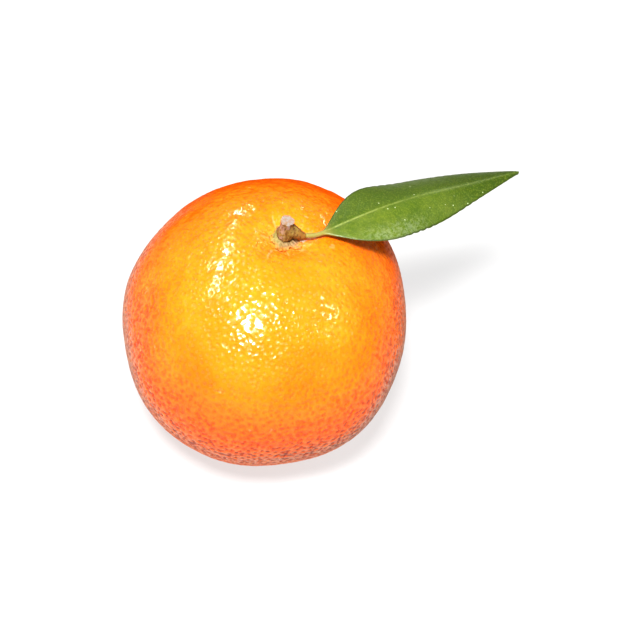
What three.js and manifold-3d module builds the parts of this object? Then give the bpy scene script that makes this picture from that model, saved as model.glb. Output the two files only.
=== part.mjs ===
// A mandarin as picked: the fruit, the calyx in its dimple, a cut stub of twig and its one leaf.
// Millimetres, +Z up along the fruit's own axis. The origin is the middle of the flat spot that it rests on,
// and the leaf reaches out between +X and +Y.
import * as THREE from "three";
import { mergeVertices } from "three/addons/utils/BufferGeometryUtils.js";
import Module from "manifold-3d";

const wasm = await Module();
wasm.setup();

const DEGREE = Math.PI / 180;
const { cos, sin, exp, hypot, abs, PI } = Math;
const { lerp, smoothstep } = THREE.MathUtils;

// The fruit: a globe a little flattened at both ends, with faint swells where the segments fill the peel.
const HALF_WIDTH = 31.2; // along X
const HALF_DEPTH = 34.0; // along Y
const HALF_HEIGHT = 29.1; // centre to the shoulders' top, before the dimple
const FULLNESS = 1.95; // 2 is an ellipsoid, more gives squarer shoulders
const SWELLS = [
  { count: 1, share: 0.0075, turn: 30 * DEGREE },
  { count: 2, share: 0.013, turn: 58 * DEGREE },
  { count: 3, share: 0.0075, turn: 71 * DEGREE },
  { count: 4, share: 0.0105, turn: 60 * DEGREE },
  { count: 5, share: 0.0075, turn: 40 * DEGREE },
  { count: 8, share: 0.0055, turn: 4 * DEGREE },
];

// The flat spot: inside FOOT_ANGLE from straight down the peel lies on the ground.
const FOOT_ANGLE = 13 * DEGREE;
const FOOT_EASE = 6 * DEGREE; // over which the underside rounds off into the flat
const CENTRE_HEIGHT = HALF_HEIGHT - 0.8;

// The dimple that the calyx sits in, and the furrows that run out of it: direction, reach and depth of each.
const DIMPLE_DEPTH = 3.1;
const DIMPLE_RADIUS = 6.4;
const FURROW_START = 2.4;
const FURROW_WIDTH = 1.1;
const FURROWS = [
  { at: 20, reach: 9, depth: 0.35 },
  { at: 72, reach: 7, depth: 0.3 },
  { at: 128, reach: 11, depth: 0.35 },
  { at: 178, reach: 7, depth: 0.25 },
  { at: 208, reach: 6, depth: 0.3 },
  { at: 241, reach: 9, depth: 0.4 },
  { at: 290, reach: 7, depth: 0.3 },
  { at: 334, reach: 8, depth: 0.3 },
];
const FRUIT_SIDES = 76;
const SIDE_ROWS = 29; // from the flat up to the dimple
const DIMPLE_ROWS = 12;
const DIMPLE_ANGLE = 18 * DEGREE;

// The calyx: five short lobes pressed down on the peel round a thicker middle that carries the twig.
const CALYX_GAP = 0.25; // clear of the peel
const LOBES = 5;
const LOBE_TURN = -18 * DEGREE;
const LOBE_REACH = 3.9;
const NOTCH_REACH = 2.8;
const SEAT_RADIUS = 2.2;
const SEAT_THICKNESS = 0.85;
const LOBE_THICKNESS = 0.5;
const LOBE_CURL = 0.35; // how far the tips lift
const LOBE_ROUNDNESS = 0.8; // under 1 gives broad lobes with narrow notches
const CALYX_SIDES = 50;
const SEAT_HEIGHT = CENTRE_HEIGHT + HALF_HEIGHT - DIMPLE_DEPTH + CALYX_GAP + SEAT_THICKNESS;

// The twig: a knobby stub, cut off square, with a short spur that the petiole grows from.
const JOINT_GAP = 0.1; // between the twig's foot and the calyx, and between spur and petiole
const STUB_HEIGHT = 5.1;
const STUB_LEAN = { x: -0.25, y: -0.4 };
const STUB_RADII = [1.7, 2.0, 1.95, 1.7, 1.5, 1.4, 1.42, 1.5]; // from the foot up to the cut
const RIDGES = [
  { count: 3, share: 0.06, twist: 5 },
  { count: 7, share: 0.035, twist: -4 },
];
const SPUR_RADII = [1.7, 1.6, 1.35, 1.05, 0.8]; // from inside the stub out to the petiole
const SPUR_PATH = [
  [0.1, -0.2, SEAT_HEIGHT + 2.6],
  [1.9, -0.35, SEAT_HEIGHT + 2.3],
  [3.1, -0.2, SEAT_HEIGHT + 1.8],
  [3.95, 0.15, SEAT_HEIGHT + 1.7],
];

// The leaf: one curved line from the spur to the tip, and the blade's width, thickness and droop about it.
const LEAF_PATH = [
  [4.08, 0.2, SEAT_HEIGHT + 1.69],
  [5.3, 0.75, SEAT_HEIGHT + 1.55],
  [6.8, 1.7, SEAT_HEIGHT + 1.6],
  [11.0, 5.3, SEAT_HEIGHT + 2.75],
  [17.7, 11.1, SEAT_HEIGHT + 4.0],
  [25.6, 18.1, SEAT_HEIGHT + 4.0],
  [36.2, 27.2, SEAT_HEIGHT + 2.7],
  [45.2, 35.3, SEAT_HEIGHT + 1.6],
];
const PETIOLE_LENGTH = 3.4;
const PETIOLE_RADIUS = 0.68;
const TIP_RADIUS = 0.3;
const BLADE_HALF_WIDTH = 8.0;
// The blade's two sides differ a little: "near" is towards -Y and "far" towards +Y.
const WIDEST_AT = { near: 0.305, far: 0.33 }; // share of the blade's length
const BASE_TAPER = { near: 2.1, far: 2.2 };
const TIP_TAPER = { near: 0.98, far: 0.6 };
const BLADE_THICKNESS = 0.72; // straight up, so still over 0.6 across the drooping margins
const RIB_DEPTH = 0.5; // how far the midrib stands out underneath, at the base
const RIB_RADIUS = 0.6;
const GROOVE_DEPTH = 0.16;
const MARGIN_DROOP = 21.5 * DEGREE;
const DROOP_CURVE = 1.5; // over 1 keeps the blade flat by the midrib and rounds it off at the margins
const SCALLOPS = 13;
const SCALLOP_DEPTH = 0.22;
const WAVES = 2.25; // up and down along each margin
const WAVE_HEIGHT = { near: 0.33, far: 0.15 };
const WAVE_START = { near: 3.3, far: -2.6 }; // radians
const LEAF_ROWS = 60;
const LEAF_COLUMNS = 10;
const COLUMN_CROWDING = 1.35; // over 1 brings the columns closer together at the midrib

const PEEL = new THREE.MeshStandardMaterial({ color: 0xff9a1c, roughness: 0.35, metalness: 0 });
const GREEN_BUTTON = new THREE.MeshStandardMaterial({ color: 0xb9a85a, roughness: 0.8, metalness: 0 });
const BARK = new THREE.MeshStandardMaterial({ color: 0x8a6a3a, roughness: 0.85, metalness: 0 });
const GREEN_LEAF = new THREE.MeshStandardMaterial({ color: 0x5f8a2c, roughness: 0.45, metalness: 0 });

// Runs every vertex of a geometry through move(point), which changes the point in place.
function reshape(geometry, move) {
  const position = geometry.getAttribute("position");
  const point = new THREE.Vector3();
  for (let i = 0; i < position.count; i++) {
    point.fromBufferAttribute(position, i);
    move(point);
    position.setXYZ(i, point.x, point.y, point.z);
  }
  geometry.computeVertexNormals();
  return geometry;
}

// A list of numbers read smoothly at a share of its length.
function along(values, share) {
  const place = share * (values.length - 1);
  const low = Math.min(Math.floor(place), values.length - 2);
  return lerp(values[low], values[low + 1], smoothstep(place - low, 0, 1));
}

// How far the dimple and its furrows press the peel down, at a distance and direction from the axis.
function pressedIn(reach, turn) {
  let depth = DIMPLE_DEPTH * exp(-((reach / DIMPLE_RADIUS) ** 2));
  for (const furrow of FURROWS) {
    const ahead = cos(turn - furrow.at * DEGREE);
    if (ahead <= 0) continue;
    const aside = (reach * sin(turn - furrow.at * DEGREE)) / FURROW_WIDTH;
    const length = smoothstep(reach, FURROW_START - 1, FURROW_START + 1)
      * (1 - smoothstep(reach, furrow.reach * 0.5, furrow.reach));
    depth += furrow.depth * length * exp(-aside * aside);
  }
  return depth;
}

// The peel's point in a direction from the fruit's middle: down is the angle from straight up.
function peelPoint(down, turn) {
  const s = sin(down);
  const c = cos(down);
  const level = s * hypot(cos(turn) / HALF_WIDTH, sin(turn) / HALF_DEPTH);
  let radius = (level ** FULLNESS + (abs(c) / HALF_HEIGHT) ** FULLNESS) ** (-1 / FULLNESS);
  for (const { count, share, turn: offset } of SWELLS) {
    radius *= 1 + share * cos(count * (turn - offset)) * s ** Math.min(count, 4);
  }
  const reach = radius * s;
  let height = CENTRE_HEIGHT + radius * c;
  if (c > 0) height -= pressedIn(reach, turn);
  height *= smoothstep(PI - down, FOOT_ANGLE, FOOT_ANGLE + FOOT_EASE);
  return new THREE.Vector3(reach * cos(turn), reach * sin(turn), height);
}

// The peel's height above a point of the plan, near the stem.
function peelHeight(reach, turn) {
  const level = reach * hypot(cos(turn) / HALF_WIDTH, sin(turn) / HALF_DEPTH);
  return CENTRE_HEIGHT + HALF_HEIGHT * (1 - level ** FULLNESS) ** (1 / FULLNESS) - pressedIn(reach, turn);
}

// Rows run from the foot up, and closer together in the dimple.
function fruit() {
  const flatEdge = PI - FOOT_ANGLE;
  const downs = [PI, (PI + flatEdge) / 2, flatEdge];
  for (let row = 1; row <= SIDE_ROWS; row++) downs.push(lerp(flatEdge, DIMPLE_ANGLE, row / SIDE_ROWS));
  for (let row = 1; row <= DIMPLE_ROWS; row++) downs.push(lerp(DIMPLE_ANGLE, 0, row / DIMPLE_ROWS));
  const outline = downs.map((down) => new THREE.Vector2(abs(sin(down)) < 1e-9 ? 0 : sin(down), cos(down)));
  const globe = new THREE.LatheGeometry(outline, FRUIT_SIDES).rotateX(PI / 2);
  return reshape(globe, (point) => {
    const turn = Math.atan2(point.y, point.x);
    point.copy(peelPoint(Math.atan2(hypot(point.x, point.y), point.z), turn));
  });
}

function calyx() {
  const shares = [0, 0.35, 0.55, 0.75, 0.9, 1]; // rings from the middle out to the rim
  const outline = [
    ...shares.map((share) => new THREE.Vector2(share, -1)),
    ...shares.toReversed().map((share) => new THREE.Vector2(share, 1)),
  ];
  const disc = new THREE.LatheGeometry(outline, CALYX_SIDES).rotateX(PI / 2);
  return reshape(disc, (point) => {
    const turn = Math.atan2(point.y, point.x);
    const share = hypot(point.x, point.y);
    const lobe = (0.5 + 0.5 * cos(LOBES * (turn - LOBE_TURN))) ** LOBE_ROUNDNESS;
    const reach = share * lerp(NOTCH_REACH, LOBE_REACH, lobe);
    const under = peelHeight(reach, turn) + CALYX_GAP + LOBE_CURL * share ** 4;
    const thin = under + LOBE_THICKNESS;
    const over = Math.max(thin, lerp(SEAT_HEIGHT, thin, smoothstep(reach, SEAT_RADIUS, LOBE_REACH)));
    point.set(reach * cos(turn), reach * sin(turn), point.z > 0 ? over : under);
  });
}

// A closed round rod along a path, whose radius is radiusAt(share of its length, angle round it).
function rod(path, radiusAt, sides, rows) {
  const frames = path.computeFrenetFrames(rows, false);
  const centres = path.getSpacedPoints(rows);
  return reshape(new THREE.CylinderGeometry(1, 1, 1, sides, rows), (point) => {
    const row = Math.round((point.y + 0.5) * rows);
    const angle = Math.atan2(point.z, point.x);
    const radius = hypot(point.x, point.z) * radiusAt(row / rows, angle);
    point.copy(centres[row])
      .addScaledVector(frames.binormals[row], radius * cos(angle))
      .addScaledVector(frames.normals[row], radius * sin(angle));
  });
}

function curveThrough(points) {
  return new THREE.CatmullRomCurve3(points.map((point) => new THREE.Vector3(...point)));
}

function solidOf(geometry) {
  const bare = new THREE.BufferGeometry();
  bare.setIndex(geometry.index);
  bare.setAttribute("position", geometry.getAttribute("position"));
  const merged = mergeVertices(bare, 1e-4);
  return new wasm.Manifold(new wasm.Mesh({
    numProp: 3,
    vertProperties: merged.getAttribute("position").array,
    triVerts: new Uint32Array(merged.index.array),
  }));
}

function geometryOf(solid) {
  const { vertProperties, triVerts } = solid.getMesh();
  const geometry = new THREE.BufferGeometry();
  geometry.setAttribute("position", new THREE.BufferAttribute(vertProperties, 3));
  geometry.setIndex(new THREE.BufferAttribute(triVerts, 1));
  geometry.computeVertexNormals();
  return geometry;
}

function twig() {
  const foot = SEAT_HEIGHT + JOINT_GAP;
  const stubPath = new THREE.LineCurve3(
    new THREE.Vector3(0, 0, foot),
    new THREE.Vector3(STUB_LEAN.x, STUB_LEAN.y, foot + STUB_HEIGHT),
  );
  const stub = rod(stubPath, (share, angle) => RIDGES.reduce(
    (radius, ridge) => radius * (1 + ridge.share * cos(ridge.count * angle + ridge.twist * share)),
    along(STUB_RADII, share),
  ), 24, 12);
  reshape(stub, (point) => {
    point.z = Math.max(point.z, foot); // the lean would tip the foot's edge into the calyx
  });
  const spur = rod(curveThrough(SPUR_PATH), (share) => along(SPUR_RADII, share), 16, 8);
  return geometryOf(solidOf(stub).add(solidOf(spur)));
}

function bladeHalfWidth(share, side) {
  if (share <= 0 || share >= 1) return 0;
  const swell = sin(PI * share ** (Math.log(0.5) / Math.log(WIDEST_AT[side])));
  const scallop = SCALLOP_DEPTH * (0.5 - 0.5 * cos(2 * PI * SCALLOPS * share)) * smoothstep(share, 0.1, 0.3);
  const taper = share < WIDEST_AT[side] ? BASE_TAPER[side] : TIP_TAPER[side];
  return Math.max(BLADE_HALF_WIDTH * swell ** taper - scallop * swell, 0);
}

// A flat box is bent into the petiole and blade: its X runs along the leaf, its Y from margin to margin.
function leaf() {
  const path = curveThrough(LEAF_PATH);
  const length = path.getLength();
  const rib = new THREE.Vector3();
  const ahead = new THREE.Vector3();
  const aside = new THREE.Vector3();
  const upward = new THREE.Vector3();
  const slab = new THREE.BoxGeometry(1, 2, 2, LEAF_ROWS, LEAF_COLUMNS, 1);
  return reshape(slab, (point) => {
    const travelled = point.x + 0.5;
    const onTop = point.z > 0;
    const share = (travelled * length - PETIOLE_LENGTH) / (length - PETIOLE_LENGTH);
    const onBlade = smoothstep(share, -0.01, 0.07);
    const margin = Math.sign(point.y) * abs(point.y) ** COLUMN_CROWDING;
    const stalk = lerp(PETIOLE_RADIUS, TIP_RADIUS, smoothstep(share, 0, 1));
    const side = margin > 0 ? "far" : "near";
    const half = hypot(stalk, bladeHalfWidth(share, side));
    const droop = MARGIN_DROOP * smoothstep(share, 0, 0.5);
    const across = margin * half * cos(droop);
    const fade = 1 - 0.75 * Math.max(share, 0);
    const ridge = exp(-((across / RIB_RADIUS) ** 2));
    const round = PETIOLE_RADIUS * (1 - 0.75 * margin * margin) ** 0.5;
    const flat = BLADE_THICKNESS / 2;
    const over = lerp(round, flat - GROOVE_DEPTH * fade * ridge, onBlade);
    const under = lerp(-round, -flat - RIB_DEPTH * fade * ridge, onBlade);
    const sag = half * sin(droop) * abs(margin) ** DROOP_CURVE;
    const swing = WAVE_HEIGHT[side] * margin * margin * onBlade;
    const wave = swing * sin(2 * PI * WAVES * share + WAVE_START[side]);
    path.getPointAt(travelled, rib);
    path.getTangentAt(travelled, ahead);
    aside.set(ahead.y, -ahead.x, 0).normalize();
    upward.crossVectors(aside, ahead);
    point.copy(rib)
      .addScaledVector(aside, -across)
      .addScaledVector(upward, (onTop ? over : under) - sag + wave);
  });
}

const mandarin = new THREE.Group();
for (const [name, geometry, material] of [
  ["fruit", fruit(), PEEL],
  ["calyx", calyx(), GREEN_BUTTON],
  ["twig", twig(), BARK],
  ["leaf", leaf(), GREEN_LEAF],
]) {
  const piece = new THREE.Mesh(geometry, material);
  piece.name = name;
  mandarin.add(piece);
}

export default mandarin;
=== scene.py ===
# The looks of a mandarin as picked: pitted peel, dry calyx, cut twig and one waxy leaf, on a pale floor.
# Sizes are millimetres until a mesh is finished, and metres after that.
import math

import bmesh
import bpy
import numpy as np
from mathutils import Matrix, Vector, noise
from mathutils.kdtree import KDTree


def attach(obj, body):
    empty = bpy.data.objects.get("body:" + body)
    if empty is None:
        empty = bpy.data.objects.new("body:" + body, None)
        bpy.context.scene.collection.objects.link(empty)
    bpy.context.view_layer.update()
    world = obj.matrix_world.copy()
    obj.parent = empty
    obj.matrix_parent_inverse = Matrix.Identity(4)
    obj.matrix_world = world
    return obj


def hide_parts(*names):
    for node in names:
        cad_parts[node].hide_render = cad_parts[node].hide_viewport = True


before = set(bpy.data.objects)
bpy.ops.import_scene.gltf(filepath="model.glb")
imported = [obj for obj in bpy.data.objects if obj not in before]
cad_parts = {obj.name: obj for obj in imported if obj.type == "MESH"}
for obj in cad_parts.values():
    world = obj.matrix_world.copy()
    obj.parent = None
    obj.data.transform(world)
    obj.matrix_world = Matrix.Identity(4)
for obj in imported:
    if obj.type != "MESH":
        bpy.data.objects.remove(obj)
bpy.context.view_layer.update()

MM = 0.001
DEGREE = math.pi / 180
chance = np.random.default_rng(7)

# The fruit's shape, as its solid has it.
HALF_WIDTH = 31.2
HALF_DEPTH = 34.0
HALF_HEIGHT = 29.1
FULLNESS = 1.95
SWELLS = [(1, 0.0075, 30), (2, 0.013, 58), (3, 0.0075, 71), (4, 0.0105, 60), (5, 0.0075, 40), (8, 0.0055, 4)]
FOOT_ANGLE = 13 * DEGREE
FOOT_EASE = 6 * DEGREE
CENTRE_HEIGHT = HALF_HEIGHT - 0.8
DIMPLE_DEPTH = 3.1
DIMPLE_RADIUS = 6.4
FURROW_START = 2.4
FURROW_WIDTH = 1.1
FURROWS = [(20, 9, 0.35), (72, 7, 0.3), (128, 11, 0.35), (178, 7, 0.25),
           (208, 6, 0.3), (241, 9, 0.4), (290, 7, 0.3), (334, 8, 0.3)]

# The oil glands are pits in the peel's own mesh, narrow and shallow above, wide and deep below. Each lies
# at a corner of an even globe, and the corners are shuffled by a share of the spacing.
GLOBE_ROUNDS = 3
GLOBE_CUTS = 6
PIT_CUTS = 2  # finer cuts, which shape each pit
GLAND_SPACING = 1.34
GLAND_SHUFFLE = 0.32
SHUFFLES = 3
RELAX = 0.2  # how far the corners even out after each shuffle
UNFOLD_ROUNDS = 2
UPRIGHT = 0.93  # a face is tipped where the cosine between its normal and the globe's is under this
GLAND_DEPTH = {"upper": 0.13, "lower": 0.27}
PIT_RADIUS = {"upper": 0.42, "lower": 0.6}
PIT_SIZES = (0.8, 1.25)  # shares of the radius and of the depth, from pit to pit
PIT_DEPTHS = (0.4, 1)
LOWER_PEEL = (0.3, 0.85)  # how far up the globe the lower peel starts and ends its change to the upper
CALM_PATCH = 6.0  # how wide the upper peel's smoother patches are
CALM_EDGE = (-0.15, 0.25)
CALM = 0.5

# Low ripples that the pits stand on: how wide and how high. The lower peel has only a part of them.
RIPPLES = [(5.0, 0.16), (2.4, 0.11), (1.3, 0.09)]
RIPPLE_FADE = 0.65
PEEL_SINK = 0.2  # keeps the ripples inside the solid

# The small scar under the fruit.
NAVEL_DEPTH = 0.4
NAVEL_RADIUS = 1.3

# Old scars on the peel round the calyx, seen from above: from, to, how wide, and whether pale or brown.
SCARS = [((-1.9, -3.7), (-2.55, -8.3), 0.55, "pale"), ((3.0, -1.0), (4.9, -2.5), 0.9, "pale"),
         ((-2.1, -3.0), (0.9, -4.1), 0.22, "brown"), ((-1.6, -3.4), (1.5, -4.3), 0.35, "pale"),
         ((-2.5, 2.6), (-3.9, 5.8), 0.4, "pale"), ((-3.0, -0.6), (-5.2, -1.2), 0.35, "pale"),
         ((1.2, -3.2), (1.9, -5.0), 0.4, "pale")]
SCAR_WANDER = 1.2

# The leaf's shape, as its solid has it, but as thin as a real blade.
SEAT_HEIGHT = CENTRE_HEIGHT + HALF_HEIGHT - DIMPLE_DEPTH + 1.1
LEAF_PATH = np.array([(4.08, 0.2, 1.69), (5.3, 0.75, 1.55), (6.8, 1.7, 1.6), (11.0, 5.3, 2.75),
                      (17.7, 11.1, 4.0), (25.6, 18.1, 4.0), (36.2, 27.2, 2.7), (45.2, 35.3, 1.6)])
PETIOLE_LENGTH = 3.4
PETIOLE_RADIUS = 0.52
PETIOLE_ROUNDNESS = 0.98
TIP_RADIUS = 0.22
BLADE_HALF_WIDTH = 8.0
WIDEST_AT = {"near": 0.305, "far": 0.33}
BASE_TAPER = {"near": 2.1, "far": 2.2}
TIP_TAPER = {"near": 0.98, "far": 0.6}
BLADE_THICKNESS = 0.34
MARGIN_THINNING = 0.6
RIB_DEPTH = 0.45
RIB_RADIUS = 0.5
RIB_FADE = 0.75  # how much of the midrib is gone at the tip
GROOVE_DEPTH = 0.14
MARGIN_DROOP = 21.5 * DEGREE
DROOP_CURVE = 1.5
SCALLOPS = 26
SCALLOP_DEPTH = 0.2
SCALLOP_UNEVEN = 0.45  # some scallops are this share deeper or shallower, in a beat that quickens to the tip
SCALLOP_BEAT = (17, 5)
WAVES = 2.25
WAVE_HEIGHT = {"near": 0.33, "far": 0.15}
WAVE_START = {"near": 3.3, "far": -2.6}
LEAF_ROWS = 280
LEAF_COLUMNS = 56
COLUMN_CROWDING = 1.2

# The dry calyx: how far out its lobes run, how ragged they are, how deep they are sunk in the dimple, and its
# wrinkles. Its lobes towards -X are shorter.
CALYX_GRAIN = 0.08
LOBE_RANGE = (1.6, 3.3)
RAGGED = [(0.9, 0.13, 5), (0.4, 0.08, 7)]  # how wide, how far and which noise
SHORT_SIDE = 0.12
LOBE_SINK = 0.72
LOBE_UNEVEN = 0.35
WRINKLES = 19
WRINKLE_SWAY = 4
WRINKLE_RANGE = (1.0, 2.2)
WRINKLE_HEIGHT = 0.08
LUMP_HEIGHT = 0.1
RIM_RANGE = (2.2, 3.5)

# The twig: its pale cut end, which reaches this far down, a pale tongue torn down its front, a notch beside
# the tongue, and its rough bark.
TWIG_GRAIN = 0.09
CUT_REACH = (0.4, 0.2)
CUT_UNEVEN = 0.3
FRONT = (0.4, 0.7)
TONGUE_REACH = (1.9, 1.5)
TONGUE_AT = 0.3
TONGUE_HALF_WIDTH = 0.42
NOTCH_AT = -0.5
NOTCH_HALF_WIDTH = 0.35
NOTCH_FRONT = (0.75, 0.95)
NOTCH_DEPTH = 0.12
SOFT_EDGE = 0.15
BARK_SINK = 0.08
BARK_RIDGE = 0.07
BARK_GRAIN = 0.04
CUT_SMOOTHNESS = 0.8

# The photograph's view: how far away it was taken, how high, how tilted, and where the fruit stands in it.
FRAME_PIXELS = 640
PIXELS_PER_MM = 4.6
VIEW_DISTANCE = 450
VIEW_ELEVATION = 48 * DEGREE
VIEW_ROLL = 14.6 * DEGREE
FRUIT_PIXEL = (265.3, 322.3)
AIM_HEIGHT = 27.9
SENSOR = 36.0

# The lights: degrees beside and above the camera's direction, width in metres, watts, and what each gives.
LIGHT_DISTANCE = 0.9
LIGHTS = [("key", -1.5, 13.5, 0.14, 11.4, "all"),
          ("window pane 0", -30, 44, 0.1, 1.1, "glints"), ("window pane 1", -25, 58, 0.1, 1.1, "glints"),
          ("window pane 2", -17, 74, 0.1, 1.1, "glints"), ("skylight", -8.7, 94, 0.06, 0.4, "all"),
          ("bounce", 50, 24, 0.08, 0.7, "glints"), ("lamp", 24, 96, 0.06, 0.3, "all"),
          ("fill right", 50, 50, 0.5, 1.4, "soft light"), ("fill left", -60, 0, 0.5, 1.1, "soft light"),
          ("low fill", 0, -38, 0.5, 0.8, "soft light")]
SKY_STRENGTH = 0.2

# The floor, in metres: pale and faintly glowing near the fruit, with a fade to a dimmer tone and glow between
# two distances, which paints a pool of light round the fruit.
FLOOR_WIDTH = 3
FLOOR_DIMS = (0.15, 0.45)
FLOOR_TONES = ((0.17, 0.17, 0.17), (0.19, 0.19, 0.19))
FAR_TONE = (0.14, 0.14, 0.14)
FLOOR_GLOW = 0.5
GLOW_FADE = 0.2


def smoothstep(value, low, high):
    share = np.clip((value - low) / (high - low), 0, 1)
    return share * share * (3 - 2 * share)


def mix(a, b, share):
    return a + (b - a) * share


# Mesh helpers


def points_of(mesh):
    points = np.empty(len(mesh.vertices) * 3)
    mesh.vertices.foreach_get("co", points)
    return points.reshape(-1, 3)


def move_points(mesh, points):
    mesh.vertices.foreach_set("co", points.ravel())
    mesh.update()


def paint(mesh, name, values):
    attribute = mesh.attributes.new(name, "FLOAT", "POINT")
    attribute.data.foreach_set("value", np.asarray(values, np.float32))


def noise_at(points, size, seed=0):
    """Smooth noise from -1 to 1 at each point, whose features are about that many millimetres across."""
    offset = Vector((seed * 17.3, seed * 5.1, seed * 9.7))
    return np.array([noise.noise(Vector(p) / size + offset) for p in points])


def piece(name, mesh, node, material):
    """A finished mesh in millimetres becomes the piece that stands for a node."""
    mesh.transform(Matrix.Scale(MM, 4))
    mesh.polygons.foreach_set("use_smooth", [True] * len(mesh.polygons))
    mesh.materials.clear()
    mesh.materials.append(material)
    made = bpy.data.objects.new(name, mesh)
    bpy.context.scene.collection.objects.link(made)
    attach(made, "root")
    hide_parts(node)
    return made


def mesh_from(shape, name):
    bmesh.ops.recalc_face_normals(shape, faces=shape.faces)
    mesh = bpy.data.meshes.new(name)
    shape.to_mesh(mesh)
    shape.free()
    return mesh


# The fruit


def pressed_in(reach, turn):
    depth = DIMPLE_DEPTH * np.exp(-((reach / DIMPLE_RADIUS) ** 2))
    for at, length, deep in FURROWS:
        aside = reach * np.sin(turn - at * DEGREE) / FURROW_WIDTH
        along = smoothstep(reach, FURROW_START - 1, FURROW_START + 1)
        along = along * (1 - smoothstep(reach, length * 0.5, length)) * (np.cos(turn - at * DEGREE) > 0)
        depth = depth + deep * along * np.exp(-aside * aside)
    return depth


def peel_points(directions):
    """Where the peel lies in each direction from the fruit's middle."""
    turn = np.arctan2(directions[:, 1], directions[:, 0])
    s = np.hypot(directions[:, 0], directions[:, 1])
    c = directions[:, 2]
    level = s * np.hypot(np.cos(turn) / HALF_WIDTH, np.sin(turn) / HALF_DEPTH)
    radius = (level ** FULLNESS + (np.abs(c) / HALF_HEIGHT) ** FULLNESS) ** (-1 / FULLNESS)
    for count, share, at in SWELLS:
        radius = radius * (1 + share * np.cos(count * (turn - at * DEGREE)) * s ** min(count, 4))
    reach = radius * s
    height = CENTRE_HEIGHT + radius * c - np.where(c > 0, pressed_in(reach, turn), 0)
    height = height * smoothstep(np.arccos(np.clip(-c, -1, 1)), FOOT_ANGLE, FOOT_ANGLE + FOOT_EASE)
    return np.stack([reach * np.cos(turn), reach * np.sin(turn), height], 1)


def nearest_gland(points, glands):
    """For each point, which of the first so many points is nearest, and how far away that one is."""
    tree = KDTree(glands)
    for index in range(glands):
        tree.insert(points[index], index)
    tree.balance()
    found = [tree.find(p) for p in points]
    return np.array([f[1] for f in found]), np.array([f[2] for f in found])


def even_out(shape, verts, factor):
    bmesh.ops.smooth_vert(shape, verts=verts, factor=factor, use_axis_x=True, use_axis_y=True,
                          use_axis_z=True)


def unfold(shape):
    """Evens out only the faces that the shuffling has tipped over, until they face outward again."""
    bmesh.ops.recalc_face_normals(shape, faces=shape.faces)
    for _ in range(UNFOLD_ROUNDS):
        shape.normal_update()
        outward = [(face, face.calc_center_median().normalized()) for face in shape.faces]
        tipped = [face for face, out in outward if face.normal.dot(out) < UPRIGHT]
        corners = sorted({vert for face in tipped for vert in face.verts}, key=lambda vert: vert.index)
        even_out(shape, corners, 0.5)


def make_fruit(material):
    shape = bmesh.new()
    bmesh.ops.create_icosphere(shape, subdivisions=GLOBE_ROUNDS, radius=1)
    bmesh.ops.subdivide_edges(shape, edges=shape.edges[:], cuts=GLOBE_CUTS, use_grid_fill=True)
    glands = len(shape.verts)
    step = GLAND_SPACING / HALF_WIDTH
    for _ in range(SHUFFLES):
        for vert in shape.verts:
            vert.co = (vert.co + Vector(chance.uniform(-1, 1, 3)) * GLAND_SHUFFLE * step).normalized()
        bmesh.ops.beautify_fill(shape, faces=shape.faces[:], edges=shape.edges[:])
        even_out(shape, shape.verts[:], RELAX)
    unfold(shape)
    bmesh.ops.subdivide_edges(shape, edges=shape.edges[:], cuts=PIT_CUTS, use_grid_fill=True)
    mesh = mesh_from(shape, "peel")
    directions = points_of(mesh)
    directions /= np.linalg.norm(directions, axis=1)[:, None]
    points = peel_points(directions)
    low = 1 - smoothstep(directions[:, 2], *LOWER_PEEL)
    which, away = nearest_gland(points, glands)
    pit = mix(PIT_RADIUS["upper"], PIT_RADIUS["lower"], low) * chance.uniform(*PIT_SIZES, glands)[which]
    gland = 1 - smoothstep(away, 0, pit)
    calm = smoothstep(noise_at(points, CALM_PATCH, 8), *CALM_EDGE)
    strength = gland * chance.uniform(*PIT_DEPTHS, glands)[which] * mix(1 - CALM * calm, 1, low)
    depth = PEEL_SINK + mix(GLAND_DEPTH["upper"], GLAND_DEPTH["lower"], low) * strength
    for seed, (size, height) in enumerate(RIPPLES):
        depth -= height * noise_at(points, size, seed) * (1 - RIPPLE_FADE * low)
    points -= directions * depth[:, None]
    points[:, 2] = np.maximum(points[:, 2], 0)
    navel = np.exp(-(points[:, 0] ** 2 + points[:, 1] ** 2) / NAVEL_RADIUS ** 2)
    points[:, 2] += np.where(directions[:, 2] < 0, NAVEL_DEPTH * navel, 0)
    paint(mesh, "gland", gland)
    move_points(mesh, points)
    return piece("fruit_peel", mesh, "fruit", material)


# The leaf


def smooth_path(points, samples=400, steps=60):
    """Even points of a centripetal curve through the given ones, and the curve's directions and length."""
    ends = np.vstack([2 * points[0] - points[1], points, 2 * points[-1] - points[-2]])
    curve = []
    for p0, p1, p2, p3 in zip(ends, ends[1:], ends[2:], ends[3:]):
        d0, d1, d2 = (np.linalg.norm(b - a) ** 0.5 for a, b in ((p0, p1), (p1, p2), (p2, p3)))
        start = ((p1 - p0) / d0 - (p2 - p0) / (d0 + d1) + (p2 - p1) / d1) * d1
        stop = ((p2 - p1) / d1 - (p3 - p1) / (d1 + d2) + (p3 - p2) / d2) * d1
        t = np.linspace(0, 1, steps, endpoint=False)[:, None]
        curve.append(p1 + start * t + (3 * (p2 - p1) - 2 * start - stop) * t ** 2
                     + (2 * (p1 - p2) + start + stop) * t ** 3)
    curve = np.vstack(curve + [points[-1:]])
    travelled = np.append(0, np.cumsum(np.linalg.norm(np.diff(curve, axis=0), axis=1)))
    even = np.linspace(0, travelled[-1], samples)
    placed = np.stack([np.interp(even, travelled, curve[:, i]) for i in range(3)], 1)
    ahead = np.gradient(placed, even, axis=0)
    return placed, ahead / np.linalg.norm(ahead, axis=1)[:, None], travelled[-1]


def by_side(far, values):
    return np.where(far, values["far"], values["near"])


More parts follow.
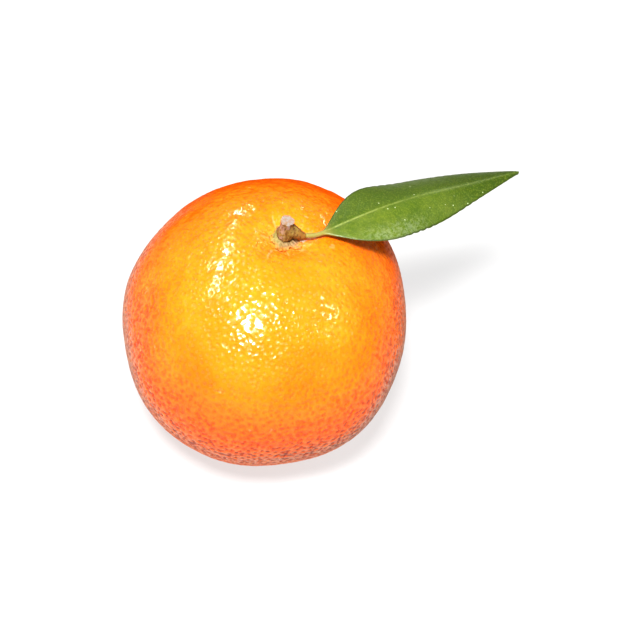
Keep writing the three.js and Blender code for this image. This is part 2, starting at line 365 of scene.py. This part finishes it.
def blade_half_width(share, far):
    inside = np.clip(share, 0, 1)
    widest = by_side(far, WIDEST_AT)
    swell = np.sin(math.pi * inside ** (math.log(0.5) / np.log(widest)))
    swell = np.maximum(swell, 0)
    scallop = SCALLOP_DEPTH * (0.5 - 0.5 * np.cos(2 * math.pi * SCALLOPS * inside)) ** 2
    beat = np.sin(SCALLOP_BEAT[0] * inside + SCALLOP_BEAT[1] * inside ** 2)
    scallop = scallop * smoothstep(inside, 0.1, 0.3) * (1 - SCALLOP_UNEVEN + SCALLOP_UNEVEN * beat)
    taper = np.where(inside < widest, by_side(far, BASE_TAPER), by_side(far, TIP_TAPER))
    return np.maximum(BLADE_HALF_WIDTH * swell ** taper - scallop * swell, 0)


def make_leaf(material):
    shape = bmesh.new()
    bmesh.ops.create_grid(shape, x_segments=LEAF_ROWS, y_segments=LEAF_COLUMNS, size=1)
    upper = bmesh.ops.extrude_face_region(shape, geom=shape.faces[:])["geom"]
    upper = [part for part in upper if isinstance(part, bmesh.types.BMVert)]
    bmesh.ops.translate(shape, verts=upper, vec=(0, 0, 1))
    mesh = mesh_from(shape, "leaf")
    flat = points_of(mesh)
    top = flat[:, 2] > 0.5
    travelled = (flat[:, 0] + 1) / 2
    placed, ahead, length = smooth_path(LEAF_PATH + np.array([0, 0, SEAT_HEIGHT]))
    share = (travelled * length - PETIOLE_LENGTH) / (length - PETIOLE_LENGTH)
    on_blade = smoothstep(share, -0.01, 0.07)
    margin = np.sign(flat[:, 1]) * np.abs(flat[:, 1]) ** COLUMN_CROWDING
    stalk = mix(PETIOLE_RADIUS, TIP_RADIUS, smoothstep(share, 0, 1))
    far = margin > 0
    half = np.hypot(stalk, blade_half_width(share, far))
    droop = MARGIN_DROOP * smoothstep(share, 0, 0.5)
    across = margin * half * np.cos(droop)
    fade = 1 - RIB_FADE * np.maximum(share, 0)
    ridge = np.exp(-((across / RIB_RADIUS) ** 2))
    rounded = PETIOLE_RADIUS * np.sqrt(1 - PETIOLE_ROUNDNESS * margin * margin)
    thin = BLADE_THICKNESS / 2 * (1 - MARGIN_THINNING * np.abs(margin) ** 8)
    over = mix(rounded, thin - GROOVE_DEPTH * fade * ridge, on_blade)
    under = mix(-rounded, -thin - RIB_DEPTH * fade * ridge, on_blade)
    sag = half * np.sin(droop) * np.abs(margin) ** DROOP_CURVE
    wave = by_side(far, WAVE_HEIGHT) * np.sin(2 * math.pi * WAVES * share + by_side(far, WAVE_START))
    wave = wave * margin * margin * on_blade
    row = travelled * (len(placed) - 1)
    rib = np.stack([np.interp(row, np.arange(len(placed)), placed[:, i]) for i in range(3)], 1)
    forward = np.stack([np.interp(row, np.arange(len(placed)), ahead[:, i]) for i in range(3)], 1)
    aside = np.stack([forward[:, 1], -forward[:, 0], np.zeros(len(forward))], 1)
    aside /= np.linalg.norm(aside, axis=1)[:, None]
    upward = np.cross(aside, forward)
    lift = np.where(top, over, under) - sag + wave
    points = rib - aside * across[:, None] + upward * lift[:, None]
    lengthwise = share * (length - PETIOLE_LENGTH)
    paint(mesh, "lengthwise", lengthwise)
    paint(mesh, "crosswise", margin * half)
    paint(mesh, "margin", margin)
    paint(mesh, "blade", on_blade)
    paint(mesh, "top", top)
    move_points(mesh, points)
    return piece("leaf_blade", mesh, "leaf", material)


# The calyx and the twig


def finer(node, grain):
    """A node's own form as an even fine mesh, in millimetres."""
    shape = bmesh.new()
    shape.from_mesh(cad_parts[node].data)
    bmesh.ops.scale(shape, verts=shape.verts, vec=(1 / MM,) * 3)
    bmesh.ops.remove_doubles(shape, verts=shape.verts, dist=0.001)
    carrier = bpy.data.objects.new("carrier", mesh_from(shape, node))
    bpy.context.scene.collection.objects.link(carrier)
    remesh = carrier.modifiers.new("even", "REMESH")
    remesh.mode = "VOXEL"
    remesh.voxel_size = grain
    smooth = carrier.modifiers.new("soften", "SMOOTH")
    smooth.iterations = 4
    graph = bpy.context.evaluated_depsgraph_get()
    mesh = bpy.data.meshes.new_from_object(carrier.evaluated_get(graph))
    bpy.data.objects.remove(carrier)
    return mesh


def make_calyx(material):
    mesh = finer("calyx", CALYX_GRAIN)
    points = points_of(mesh)
    level = points * np.array([1, 1, 0])
    reach = np.hypot(points[:, 0], points[:, 1])
    turn = np.arctan2(points[:, 1], points[:, 0])
    outer = smoothstep(reach, *LOBE_RANGE)
    ragged = sum(far * noise_at(level, size, seed) for size, far, seed in RAGGED)
    ragged = ragged - SHORT_SIDE * smoothstep(-points[:, 0], 0, 3)
    points[:, :2] *= (1 + ragged * outer)[:, None]
    wrinkle = np.sin(WRINKLES * turn + WRINKLE_SWAY * noise_at(points, 1.2, 6))
    wrinkle = wrinkle * smoothstep(reach, *WRINKLE_RANGE)
    points[:, 2] += LUMP_HEIGHT * noise_at(points, 0.8, 3) + WRINKLE_HEIGHT * wrinkle
    points[:, 2] -= outer * (LOBE_SINK + LOBE_UNEVEN * noise_at(level, 1.3, 4))
    paint(mesh, "rim", smoothstep(reach, *RIM_RANGE))
    paint(mesh, "wrinkle", 0.5 + 0.5 * wrinkle)
    move_points(mesh, points)
    return piece("calyx_button", mesh, "calyx", material)


def make_twig(material):
    mesh = finer("twig", TWIG_GRAIN)
    points = points_of(mesh)
    normals = np.empty(len(points) * 3)
    mesh.vertices.foreach_get("normal", normals)
    normals = normals.reshape(-1, 3)
    crest = points[:, 2].max()
    height = points[:, 2] + CUT_UNEVEN * noise_at(points, 0.9, 9)
    cut = smoothstep(height, crest - CUT_REACH[0], crest - CUT_REACH[1])
    cut = cut * smoothstep(normals[:, 2], -0.1, 0.5)
    front = smoothstep(-normals[:, 1], *FRONT)
    tongue = front * smoothstep(height, crest - TONGUE_REACH[0], crest - TONGUE_REACH[1])
    tongue = tongue * smoothstep(TONGUE_HALF_WIDTH - np.abs(points[:, 0] - TONGUE_AT), 0, SOFT_EDGE)
    cut = np.maximum(cut, tongue)
    notch = smoothstep(NOTCH_HALF_WIDTH - np.abs(points[:, 0] - NOTCH_AT), 0, SOFT_EDGE)
    notch = notch * smoothstep(-points[:, 1], *NOTCH_FRONT)
    cut = cut * (1 - notch)
    ridges = BARK_RIDGE * noise_at(points * np.array([1, 1, 0.4]), 0.6, 1)
    rough = BARK_SINK + ridges + BARK_GRAIN * noise_at(points, 0.22, 2)
    sunk = rough * (1 - CUT_SMOOTHNESS * cut) + NOTCH_DEPTH * notch * front
    points -= normals * sunk[:, None]
    paint(mesh, "cut", cut)
    move_points(mesh, points)
    return piece("twig_bark", mesh, "twig", material)


# Materials, whose colours are shares of red, green and blue light

PEEL = {"yellow": (0.93, 0.25, 0.012), "golden": (0.95, 0.29, 0.02), "orange": (0.86, 0.165, 0.010),
        "mottled": (0.88, 0.17, 0.006), "shaded rim": (0.74, 0.10, 0.004), "shoulder_shade": (0.62, 0.07, 0.003),
        "ridge": (0.88, 0.28, 0.095), "shaded_crease": (0.66, 0.08, 0.004), "painted_sheen": (0.95, 0.47, 0.30),
        "pit": (0.70, 0.085, 0.003), "shaded side pit": (0.34, 0.05, 0.02), "shaded low pit": (0.66, 0.10, 0.03),
        "grey rim shade": (0.38, 0.24, 0.18), "by the calyx": (0.78, 0.42, 0.06), "fleck": (0.95, 0.62, 0.22),
        "green": (0.52, 0.42, 0.09), "navel": (0.30, 0.16, 0.06), "scab": (0.66, 0.36, 0.16),
        "speck": (0.25, 0.08, 0.01), "pale": (0.62, 0.36, 0.13), "brown": (0.28, 0.10, 0.02)}
LEAF = {"green": (0.092, 0.14, 0.012), "light green": (0.125, 0.17, 0.02), "shaded far half": (0.07, 0.11, 0.009),
        "tip": (0.05, 0.082, 0.005), "blotch": (0.05, 0.10, 0.012), "grain": (0.19, 0.24, 0.035),
        "vein": (0.2, 0.25, 0.05), "midrib": (0.30, 0.34, 0.11), "painted_highlight": (0.33, 0.38, 0.25),
        "dot": (0.26, 0.33, 0.07), "speck": (0.60, 0.66, 0.42), "edge": (0.04, 0.06, 0.012),
        "underside": (0.24, 0.31, 0.09), "stalk": (0.30, 0.26, 0.075)}
CALYX = {"green": (0.24, 0.22, 0.05), "light green": (0.36, 0.30, 0.10), "brown": (0.21, 0.135, 0.055),
         "cream": (0.32, 0.22, 0.10), "wrinkle": (0.40, 0.31, 0.17), "lobe": (0.44, 0.30, 0.21),
         "edge": (0.72, 0.30, 0.05), "dark": (0.17, 0.09, 0.02)}
BARK = {"dark": (0.15, 0.075, 0.015), "light": (0.26, 0.175, 0.045), "painted_left_highlight": (0.42, 0.29, 0.24),
        "spur": (0.31, 0.145, 0.03), "fleck": (0.36, 0.22, 0.10), "shaded_crease": (0.07, 0.03, 0.006),
        "grey wood": (0.33, 0.29, 0.26), "tan wood": (0.33, 0.22, 0.16)}


class Paint:
    """A Principled material, with short ways to add the nodes that its finish needs."""

    def __init__(self, name, **settings):
        self.material = bpy.data.materials.new(name)
        self.material.use_nodes = True
        self.nodes = self.material.node_tree.nodes
        self.links = self.material.node_tree.links
        self.shader = self.nodes["Principled BSDF"]
        for socket, value in settings.items():
            self.shader.inputs[socket.replace("_", " ")].default_value = value
        self.place = self.nodes.new("ShaderNodeTexCoord").outputs["Object"]

    def put(self, socket, value):
        """Joins an output to a socket, or sets the socket to a constant."""
        if isinstance(value, bpy.types.NodeSocket):
            self.links.new(value, socket)
        elif hasattr(value, "__len__") and len(value) == 3 and len(socket.default_value) == 4:
            socket.default_value = (*value, 1)
        else:
            socket.default_value = value

    def attribute(self, name):
        node = self.nodes.new("ShaderNodeAttribute")
        node.attribute_name = name
        return node.outputs["Fac"]

    def math(self, kind, *values):
        node = self.nodes.new("ShaderNodeMath")
        node.operation = kind
        for socket, value in zip(node.inputs, values):
            self.put(socket, value)
        return node.outputs[0]

    def noise(self, size, detail=2.0, rough=0.5, stretch=(1, 1, 1)):
        """Noise whose features are about that many millimetres across, from 0 to 1."""
        mapping = self.nodes.new("ShaderNodeMapping")
        self.put(mapping.inputs["Vector"], self.place)
        mapping.inputs["Scale"].default_value = stretch
        node = self.nodes.new("ShaderNodeTexNoise")
        self.put(node.inputs["Vector"], mapping.outputs[0])
        node.inputs["Scale"].default_value = 1 / (size * MM)
        node.inputs["Detail"].default_value = detail
        node.inputs["Roughness"].default_value = rough
        return node.outputs["Fac"]

    def cells(self, size):
        node = self.nodes.new("ShaderNodeTexVoronoi")
        self.put(node.inputs["Vector"], self.place)
        node.inputs["Scale"].default_value = 1 / (size * MM)
        return node.outputs["Distance"]

    def between(self, value, low, high, to_low=0.0, to_high=1.0):
        """Value from low to high, as a share from to_low to to_high."""
        node = self.nodes.new("ShaderNodeMapRange")
        node.interpolation_type = "SMOOTHSTEP"
        for name, number in zip(("Value", "From Min", "From Max", "To Min", "To Max"),
                                (value, low, high, to_low, to_high)):
            self.put(node.inputs[name], number)
        return node.outputs[0]

    def blend(self, share, a, b):
        node = self.nodes.new("ShaderNodeMix")
        node.data_type = "RGBA"
        self.put(node.inputs["Factor"], share)
        self.put(node.inputs[6], a)
        self.put(node.inputs[7], b)
        return node.outputs[2]

    def bump(self, height, millimetres, below=None):
        node = self.nodes.new("ShaderNodeBump")
        node.inputs["Distance"].default_value = millimetres * MM
        self.put(node.inputs["Height"], height)
        if below is not None:
            self.put(node.inputs["Normal"], below)
        return node.outputs[0]

    def streak(self, start, end, width):
        """A share that is 1 along a line seen from above, from one point to another in millimetres."""
        length = math.dist(start, end)
        ahead = ((end[0] - start[0]) / length, (end[1] - start[1]) / length)
        place = [self.math("SUBTRACT", self.axis(i), start[i] * MM) for i in (0, 1)]
        along = self.math("MULTIPLY_ADD", place[0], ahead[0], self.math("MULTIPLY", place[1], ahead[1]))
        aside = self.math("MULTIPLY_ADD", place[0], -ahead[1], self.math("MULTIPLY", place[1], ahead[0]))
        wander = self.math("MULTIPLY_ADD", self.noise(1.6, 3.0), SCAR_WANDER * MM, -SCAR_WANDER / 2 * MM)
        aside = self.math("ABSOLUTE", self.math("ADD", aside, wander))
        line = self.between(aside, width * 0.2 * MM, width * 0.75 * MM, 1, 0)
        line = self.math("MULTIPLY", line, self.between(along, -0.3 * MM, 0.5 * MM))
        return self.math("MULTIPLY", line, self.between(along, length * 0.6 * MM, length * MM, 1, 0))

    def axis(self, index):
        node = self.nodes.new("ShaderNodeSeparateXYZ")
        self.put(node.inputs[0], self.place)
        return node.outputs[index]

    def from_axis(self):
        """How far away the upright axis is, in metres."""
        squares = [self.math("POWER", self.axis(i), 2.0) for i in (0, 1)]
        return self.math("SQRT", self.math("ADD", *squares))

    def finish(self, colour=None, roughness=None, normal=None):
        for name, value in (("Base Color", colour), ("Roughness", roughness), ("Normal", normal)):
            if value is not None:
                self.put(self.shader.inputs[name], value)
        return self.material


def peel_material():
    peel = Paint("peel", Subsurface_Weight=0.25, Subsurface_Scale=0.0012, Coat_Roughness=0.1, Coat_IOR=1.4)
    peel.shader.inputs["Subsurface Radius"].default_value = (1.0, 0.35, 0.1)
    gland = peel.attribute("gland")
    facing = peel.nodes.new("ShaderNodeLayerWeight").outputs["Facing"]
    # Yellow above and orange below, with an uneven border: partly the peel's own tone, partly painted light
    # falling from above.
    upper = peel.blend(peel.between(peel.noise(9), 0.3, 0.7), PEEL["yellow"], PEEL["golden"])
    uneven_height = peel.math("MULTIPLY_ADD", peel.noise(13, 1.0), 20 * MM, peel.axis(2))
    colour = peel.blend(peel.between(uneven_height, 39 * MM, 61 * MM), PEEL["orange"], upper)
    mottle = peel.between(peel.noise(2.0, 2.0), 0.35, 0.65, 0, 0.25)
    colour = peel.blend(mottle, colour, PEEL["mottled"])
    low = peel.between(uneven_height, 38 * MM, 58 * MM, 1, 0)
    # Painted shade: redder and darker where the peel turns away from the view, more so lower down.
    rim_shade_share = peel.math("MULTIPLY_ADD", low, 0.2, 0.22)
    rim_shade_share = peel.math("MULTIPLY", peel.between(facing, 0.2, 0.85), rim_shade_share)
    colour = peel.blend(rim_shade_share, colour, PEEL["shaded rim"])
    # Painted shade: darker red at the outline of the upper peel.
    shoulder_shade = peel.math("MULTIPLY_ADD", low, -0.7, 0.7)
    shoulder_shade = peel.math("MULTIPLY", peel.between(facing, 0.5, 0.9), shoulder_shade)
    colour = peel.blend(shoulder_shade, colour, PEEL["shoulder_shade"])
    # Below, towards the outline: a paler tint that is a painted reflection of the floor, darker creases of
    # painted shade, and a painted pale sheen.
    # Painted reflection of the floor: a paler tint on the lower peel towards the outline.
    ridges = peel.math("MULTIPLY", low, peel.between(facing, 0.3, 0.8, 0, 0.65))
    colour = peel.blend(ridges, colour, PEEL["ridge"])
    # Painted shade: darker red creases on the lower peel towards the outline.
    low_rim_share = peel.math("MULTIPLY", low, peel.between(facing, 0.1, 0.4))
    shaded_creases = peel.math("MULTIPLY", low_rim_share, peel.between(peel.noise(1.1, 3.0), 0.44, 0.56, 0, 0.45))
    colour = peel.blend(shaded_creases, colour, PEEL["shaded_crease"])
    # Painted sheen: pale pink patches on the lower peel towards the outline.
    painted_sheen = peel.math("MULTIPLY", low, peel.between(facing, 0.5, 0.85))
    painted_sheen = peel.math("MULTIPLY", painted_sheen, peel.between(peel.noise(0.9, 2.0), 0.5, 0.66, 0, 0.75))
    colour = peel.blend(painted_sheen, colour, PEEL["painted_sheen"])
    # The pits are darker: partly the glands' own colour, and partly painted shade that grows towards the
    # outline, darkest on the sides.
    uneven = peel.math("MULTIPLY_ADD", peel.noise(0.7, 3.0), 1.5, -0.75)
    pits = peel.between(peel.math("ADD", gland, uneven), -0.1, 0.5)
    pits = peel.math("MULTIPLY", pits, peel.between(peel.noise(1.7), 0.3, 0.6, 0.5, 1.1))
    pits = peel.math("MULTIPLY", pits, peel.between(facing, 0.0, 0.4, 0.25, 1.0))
    pits = peel.math("MULTIPLY", pits, peel.math("MULTIPLY_ADD", low, 0.6, 0.35))
    # Painted shade in the pits: darkest on the sides, less dark underneath.
    beneath = peel.between(peel.axis(2), 12 * MM, 22 * MM, 1, 0)
    sunk = peel.blend(beneath, PEEL["shaded side pit"], PEEL["shaded low pit"])
    sunk = peel.blend(peel.between(facing, 0.25, 0.75), PEEL["pit"], sunk)
    colour = peel.blend(pits, colour, sunk)
    # Painted shade: a grey tint at the outline half way up.
    grey_rim_shade = peel.math("MULTIPLY", peel.between(peel.axis(2), 14 * MM, 24 * MM),
                        peel.between(peel.axis(2), 32 * MM, 46 * MM, 1, 0))
    grey_rim_shade = peel.math("MULTIPLY", grey_rim_shade, peel.between(facing, 0.5, 0.9, 0, 0.6))
    colour = peel.blend(grey_rim_shade, colour, PEEL["grey rim shade"])
    # Round the calyx: yellower, flecked, greenish towards -X, and scarred.
    reach = peel.from_axis()
    high = peel.between(peel.axis(2), 45 * MM, 52 * MM)
    wander = peel.math("ADD", reach, peel.math("MULTIPLY", peel.noise(2.5), 3 * MM))
    near_calyx = peel.math("MULTIPLY", peel.between(wander, 4.5 * MM, 9 * MM, 1, 0), high)
    colour = peel.blend(peel.math("MULTIPLY", near_calyx, 0.2), colour, PEEL["by the calyx"])
    flecks = peel.math("MULTIPLY", near_calyx, peel.between(peel.noise(0.8, 3.0), 0.54, 0.64, 0, 0.35))
    colour = peel.blend(flecks, colour, PEEL["fleck"])
    around = peel.math("MULTIPLY", peel.between(wander, 3.8 * MM, 5.6 * MM, 1, 0), high)
    around = peel.math("MULTIPLY", around, peel.between(peel.axis(0), -2 * MM, 1.5 * MM, 0.7, 0.15))
    colour = peel.blend(around, colour, PEEL["green"])
    for start, end, width, tone in SCARS:
        share = peel.math("MULTIPLY", peel.math("MULTIPLY", peel.streak(start, end, width), high), 0.8)
        colour = peel.blend(share, colour, PEEL[tone])
    # The navel, and a few scabs and specks anywhere.
    wander = peel.math("ADD", reach, peel.math("MULTIPLY", peel.noise(1.0), 1.6 * MM))
    navel = peel.math("MULTIPLY", peel.between(wander, 1.4 * MM, 2.4 * MM, 1, 0),
                      peel.between(peel.axis(2), 1 * MM, 3 * MM, 0.9, 0))
    colour = peel.blend(navel, colour, PEEL["navel"])
    scabs = peel.between(peel.noise(2.2, 2.0), 0.71, 0.76, 0, 0.5)
    colour = peel.blend(scabs, colour, PEEL["scab"])
    specks = peel.between(peel.cells(9), 0.015, 0.03, 0.6, 0)
    colour = peel.blend(specks, colour, PEEL["speck"])
    # Glossy between the pits and dull in them and at the rim.
    rim = peel.math("MULTIPLY", peel.between(facing, 0.6, 0.9), 0.5)
    roughness = peel.math("MAXIMUM", peel.between(gland, 0.05, 0.6, 0.15, 0.5), rim)
    fine = peel.bump(peel.noise(0.6, 2.0), 0.015)
    normal = peel.bump(peel.math("SUBTRACT", 1.0, gland), 0.05, fine)
    peel.put(peel.shader.inputs["Coat Weight"], peel.between(facing, 0.4, 0.65, 0.25, 0.0))
    dull = peel.math("MULTIPLY", peel.between(facing, 0.35, 0.65), peel.math("MULTIPLY_ADD", low, -0.4, 1.0))
    peel.put(peel.shader.inputs["Specular IOR Level"], peel.math("MULTIPLY_ADD", dull, -0.45, 0.45))
    return peel.finish(colour, roughness, normal)


def leaf_material():
    leaf = Paint("leaf", Specular_IOR_Level=0.35, Coat_Weight=0.15, Coat_Roughness=0.25,
                 Subsurface_Weight=0.1, Subsurface_Scale=0.0004)
    leaf.shader.inputs["Subsurface Radius"].default_value = (0.6, 1.0, 0.2)
    lengthwise = leaf.attribute("lengthwise")
    crosswise = leaf.math("ABSOLUTE", leaf.attribute("crosswise"))
    # Side veins run forward from the midrib.
    slanted = leaf.math("SUBTRACT", lengthwise, leaf.math("MULTIPLY", crosswise, 0.75))
    wobble = leaf.math("MULTIPLY", leaf.noise(4), 2.2)
    ripple = leaf.math("PINGPONG", leaf.math("ADD", slanted, wobble), 1.6)
    veins = leaf.between(ripple, 0.0, 0.32, 1, 0)
    midrib = leaf.between(crosswise, 0.06, 0.34, 1, 0)
    # Greens: darker on the far half, as painted shade, and towards the tip, blotched and grained.
    colour = leaf.blend(leaf.between(leaf.noise(7), 0.3, 0.7), LEAF["green"], LEAF["light green"])
    # Painted shade on the far half of the blade.
    far = leaf.between(leaf.attribute("margin"), -0.05, 0.1, 0, 0.75)
    colour = leaf.blend(far, colour, LEAF["shaded far half"])
    colour = leaf.blend(leaf.between(lengthwise, 22, 42, 0, 0.9), colour, LEAF["tip"])
    blotches = leaf.between(leaf.noise(1.3, 3.0), 0.35, 0.65, 0.35, 0)
    colour = leaf.blend(blotches, colour, LEAF["blotch"])
    grain = leaf.between(leaf.noise(0.35, 2.0), 0.45, 0.7, 0, 0.4)
    colour = leaf.blend(grain, colour, LEAF["grain"])
    colour = leaf.blend(leaf.math("MULTIPLY", veins, 0.05), colour, LEAF["vein"])
    rib_share = leaf.math("MULTIPLY", leaf.between(lengthwise, 3.0, 28.0, 0.75, 0.2),
                          leaf.between(leaf.noise(0.8, 2.0), 0.35, 0.6, 0.45, 1))
    colour = leaf.blend(leaf.math("MULTIPLY", midrib, rib_share), colour, LEAF["midrib"])
    # A painted pale sheen on the near half, oil dots and dust.
    # Painted highlight: a whitish sheen on the near half of the blade.
    painted_highlight = leaf.math("MULTIPLY", leaf.between(leaf.attribute("margin"), -0.85, -0.35, 1, 0),
                      leaf.between(lengthwise, 5, 12))
    painted_highlight = leaf.math("MULTIPLY", painted_highlight, leaf.between(lengthwise, 17, 27, 1, 0))
    painted_highlight = leaf.math("MULTIPLY", painted_highlight, leaf.between(leaf.noise(0.7, 4.0, 0.7), 0.38, 0.62, 0.0, 0.35))
    colour = leaf.blend(painted_highlight, colour, LEAF["painted_highlight"])
    dots = leaf.between(leaf.cells(0.55), 0.1, 0.2, 1, 0)
    colour = leaf.blend(leaf.math("MULTIPLY", dots, 0.15), colour, LEAF["dot"])
    specks = leaf.math("MULTIPLY", leaf.between(leaf.cells(2.3), 0.05, 0.075, 0.7, 0), leaf.attribute("top"))
    colour = leaf.blend(specks, colour, LEAF["speck"])
    # The margin, the underside and the stalk.
    edge = leaf.between(leaf.math("ABSOLUTE", leaf.attribute("margin")), 0.93, 0.995, 0, 0.7)
    colour = leaf.blend(leaf.math("MULTIPLY", edge, leaf.attribute("blade")), colour, LEAF["edge"])
    underside = leaf.math("SUBTRACT", 1.0, leaf.attribute("top"))
    underside = leaf.math("MULTIPLY", underside, leaf.attribute("blade"))
    colour = leaf.blend(underside, colour, LEAF["underside"])
    stalk = leaf.math("SUBTRACT", 1.0, leaf.attribute("blade"))
    colour = leaf.blend(stalk, colour, LEAF["stalk"])
    height = leaf.math("ADD", leaf.math("MULTIPLY", veins, -0.35), leaf.noise(0.6, 4.0, 0.6))
    return leaf.finish(colour, leaf.between(leaf.noise(1.5), 0.3, 0.7, 0.36, 0.5), leaf.bump(height, 0.05))


def calyx_material():
    calyx = Paint("calyx", Specular_IOR_Level=0.35)
    patches = calyx.between(calyx.noise(0.8, 3.0), 0.35, 0.65)
    green = calyx.blend(patches, CALYX["green"], CALYX["light green"])
    cream = calyx.blend(patches, CALYX["brown"], CALYX["cream"])
    colour = calyx.blend(calyx.between(calyx.axis(0), -2.0 * MM, 0.5 * MM), green, cream)
    pale = calyx.math("MULTIPLY", calyx.attribute("wrinkle"), calyx.between(calyx.noise(0.7, 2.0), 0.4, 0.6))
    colour = calyx.blend(calyx.math("MULTIPLY", pale, 0.5), colour, CALYX["wrinkle"])
    lobe = calyx.math("MULTIPLY", calyx.between(calyx.axis(0), 1.6 * MM, 2.6 * MM), 0.6)
    colour = calyx.blend(lobe, colour, CALYX["lobe"])
    edge = calyx.between(calyx.noise(1.0, 2.0), 0.35, 0.6, 0.3, 1.0)
    edge = calyx.math("MULTIPLY", calyx.attribute("rim"), edge)
    colour = calyx.blend(edge, colour, CALYX["edge"])
    dark = calyx.between(calyx.noise(0.35, 2.0), 0.58, 0.68)
    colour = calyx.blend(calyx.math("MULTIPLY", dark, 0.7), colour, CALYX["dark"])
    return calyx.finish(colour, 0.65, calyx.bump(calyx.noise(0.5, 3.0), 0.1))


def bark_material():
    bark = Paint("bark", Specular_IOR_Level=0.35)
    patches = bark.between(bark.noise(0.9, 4.0, 0.6, (1, 1, 0.5)), 0.38, 0.62)
    colour = bark.blend(patches, BARK["dark"], BARK["light"])
    # Painted highlight: a pale lilac patch on the twig's -X side.
    painted_left_highlight = bark.math("MULTIPLY", bark.between(bark.axis(0), -0.9 * MM, 0.3 * MM, 1, 0),
                     bark.between(bark.noise(0.8, 3.0), 0.42, 0.56, 0, 0.8))
    colour = bark.blend(painted_left_highlight, colour, BARK["painted_left_highlight"])
    spur = bark.between(bark.axis(0), 1.8 * MM, 3.2 * MM, 0, 0.7)
    colour = bark.blend(spur, colour, BARK["spur"])
    flecks = bark.between(bark.noise(0.35, 2.0), 0.6, 0.7)
    colour = bark.blend(flecks, colour, BARK["fleck"])
    # Painted shade: near-black creases in the bark.
    shaded_creases = bark.between(bark.noise(0.5, 3.0, 0.6, (1, 1, 0.4)), 0.58, 0.66, 0, 0.8)
    colour = bark.blend(shaded_creases, colour, BARK["shaded_crease"])
    wood = bark.blend(bark.between(bark.noise(0.5, 3.0), 0.4, 0.6), BARK["grey wood"], BARK["tan wood"])
    colour = bark.blend(bark.attribute("cut"), colour, wood)
    return bark.finish(colour, 0.7, bark.bump(bark.noise(0.25, 4.0), 0.15))


# The studio


def view_axes():
    """Right, up and back of the photograph's camera."""
    back = Vector((0, -math.cos(VIEW_ELEVATION), math.sin(VIEW_ELEVATION)))
    level = Vector((1, 0, 0))
    upright = back.cross(level)
    right = level * math.cos(VIEW_ROLL) + upright * math.sin(VIEW_ROLL)
    return right, back.cross(right), back


def make_camera():
    right, up, back = view_axes()
    middle = FRAME_PIXELS / 2
    aside = (middle - FRUIT_PIXEL[0]) / PIXELS_PER_MM
    above = (FRUIT_PIXEL[1] - middle) / PIXELS_PER_MM
    spot = Vector((0, 0, AIM_HEIGHT)) + back * VIEW_DISTANCE + right * aside + up * above
    camera = bpy.data.objects.new("camera", bpy.data.cameras.new("camera"))
    camera.data.sensor_width = SENSOR
    camera.data.lens = SENSOR * PIXELS_PER_MM * VIEW_DISTANCE / FRAME_PIXELS
    camera.data.clip_end = 20
    axes = Matrix((right, up, back)).transposed().to_4x4()
    camera.matrix_world = Matrix.Translation(spot * MM) @ axes
    bpy.context.scene.collection.objects.link(camera)
    bpy.context.scene.camera = camera


def softbox(name, sideways, above, size, watts, gives):
    """A square light aimed at the fruit, which gives all its light, only glints, or only soft light."""
    right, up, back = view_axes()
    facing = back * math.cos(above * DEGREE) + up * math.sin(above * DEGREE)
    towards = facing * math.cos(sideways * DEGREE) + right * math.sin(sideways * DEGREE)
    light = bpy.data.lights.new(name, "AREA")
    light.size = size
    light.energy = watts
    made = bpy.data.objects.new(name, light)
    spot = Vector((0, 0, AIM_HEIGHT)) * MM + towards * LIGHT_DISTANCE
    made.matrix_world = Matrix.Translation(spot) @ towards.to_track_quat("Z", "Y").to_matrix().to_4x4()
    made.visible_diffuse = gives != "glints"
    made.visible_glossy = gives != "soft light"
    bpy.context.scene.collection.objects.link(made)


def make_floor():
    shape = bmesh.new()
    bmesh.ops.create_grid(shape, x_segments=1, y_segments=1, size=FLOOR_WIDTH)
    floor = bpy.data.objects.new("floor", mesh_from(shape, "floor"))
    pale = Paint("floor", Roughness=0.9, Specular_IOR_Level=0.2, Emission_Color=(1, 1, 1, 1))
    shade = pale.blend(pale.noise(30), *FLOOR_TONES)
    # Painted pool of light: the floor's tone and glow fade to dimmer away from the fruit.
    away = pale.between(pale.from_axis(), *FLOOR_DIMS)
    glow = pale.math("MULTIPLY_ADD", away, -GLOW_FADE, FLOOR_GLOW)
    pale.put(pale.shader.inputs["Emission Strength"], glow)
    floor.data.materials.append(pale.finish(pale.blend(away, shade, FAR_TONE)))
    bpy.context.scene.collection.objects.link(floor)


def make_surroundings():
    world = bpy.data.worlds.new("surroundings")
    world.use_nodes = True
    world.node_tree.nodes["Background"].inputs["Color"].default_value = (1, 1, 1, 1)
    world.node_tree.nodes["Background"].inputs["Strength"].default_value = SKY_STRENGTH
    bpy.context.scene.world = world
    bpy.context.scene.view_settings.view_transform = "Standard"
    bpy.context.scene.view_settings.look = "High Contrast"


make_camera()
make_surroundings()
for light in LIGHTS:
    softbox(*light)
make_floor()

make_fruit(peel_material())
make_calyx(calyx_material())
make_twig(bark_material())
make_leaf(leaf_material())
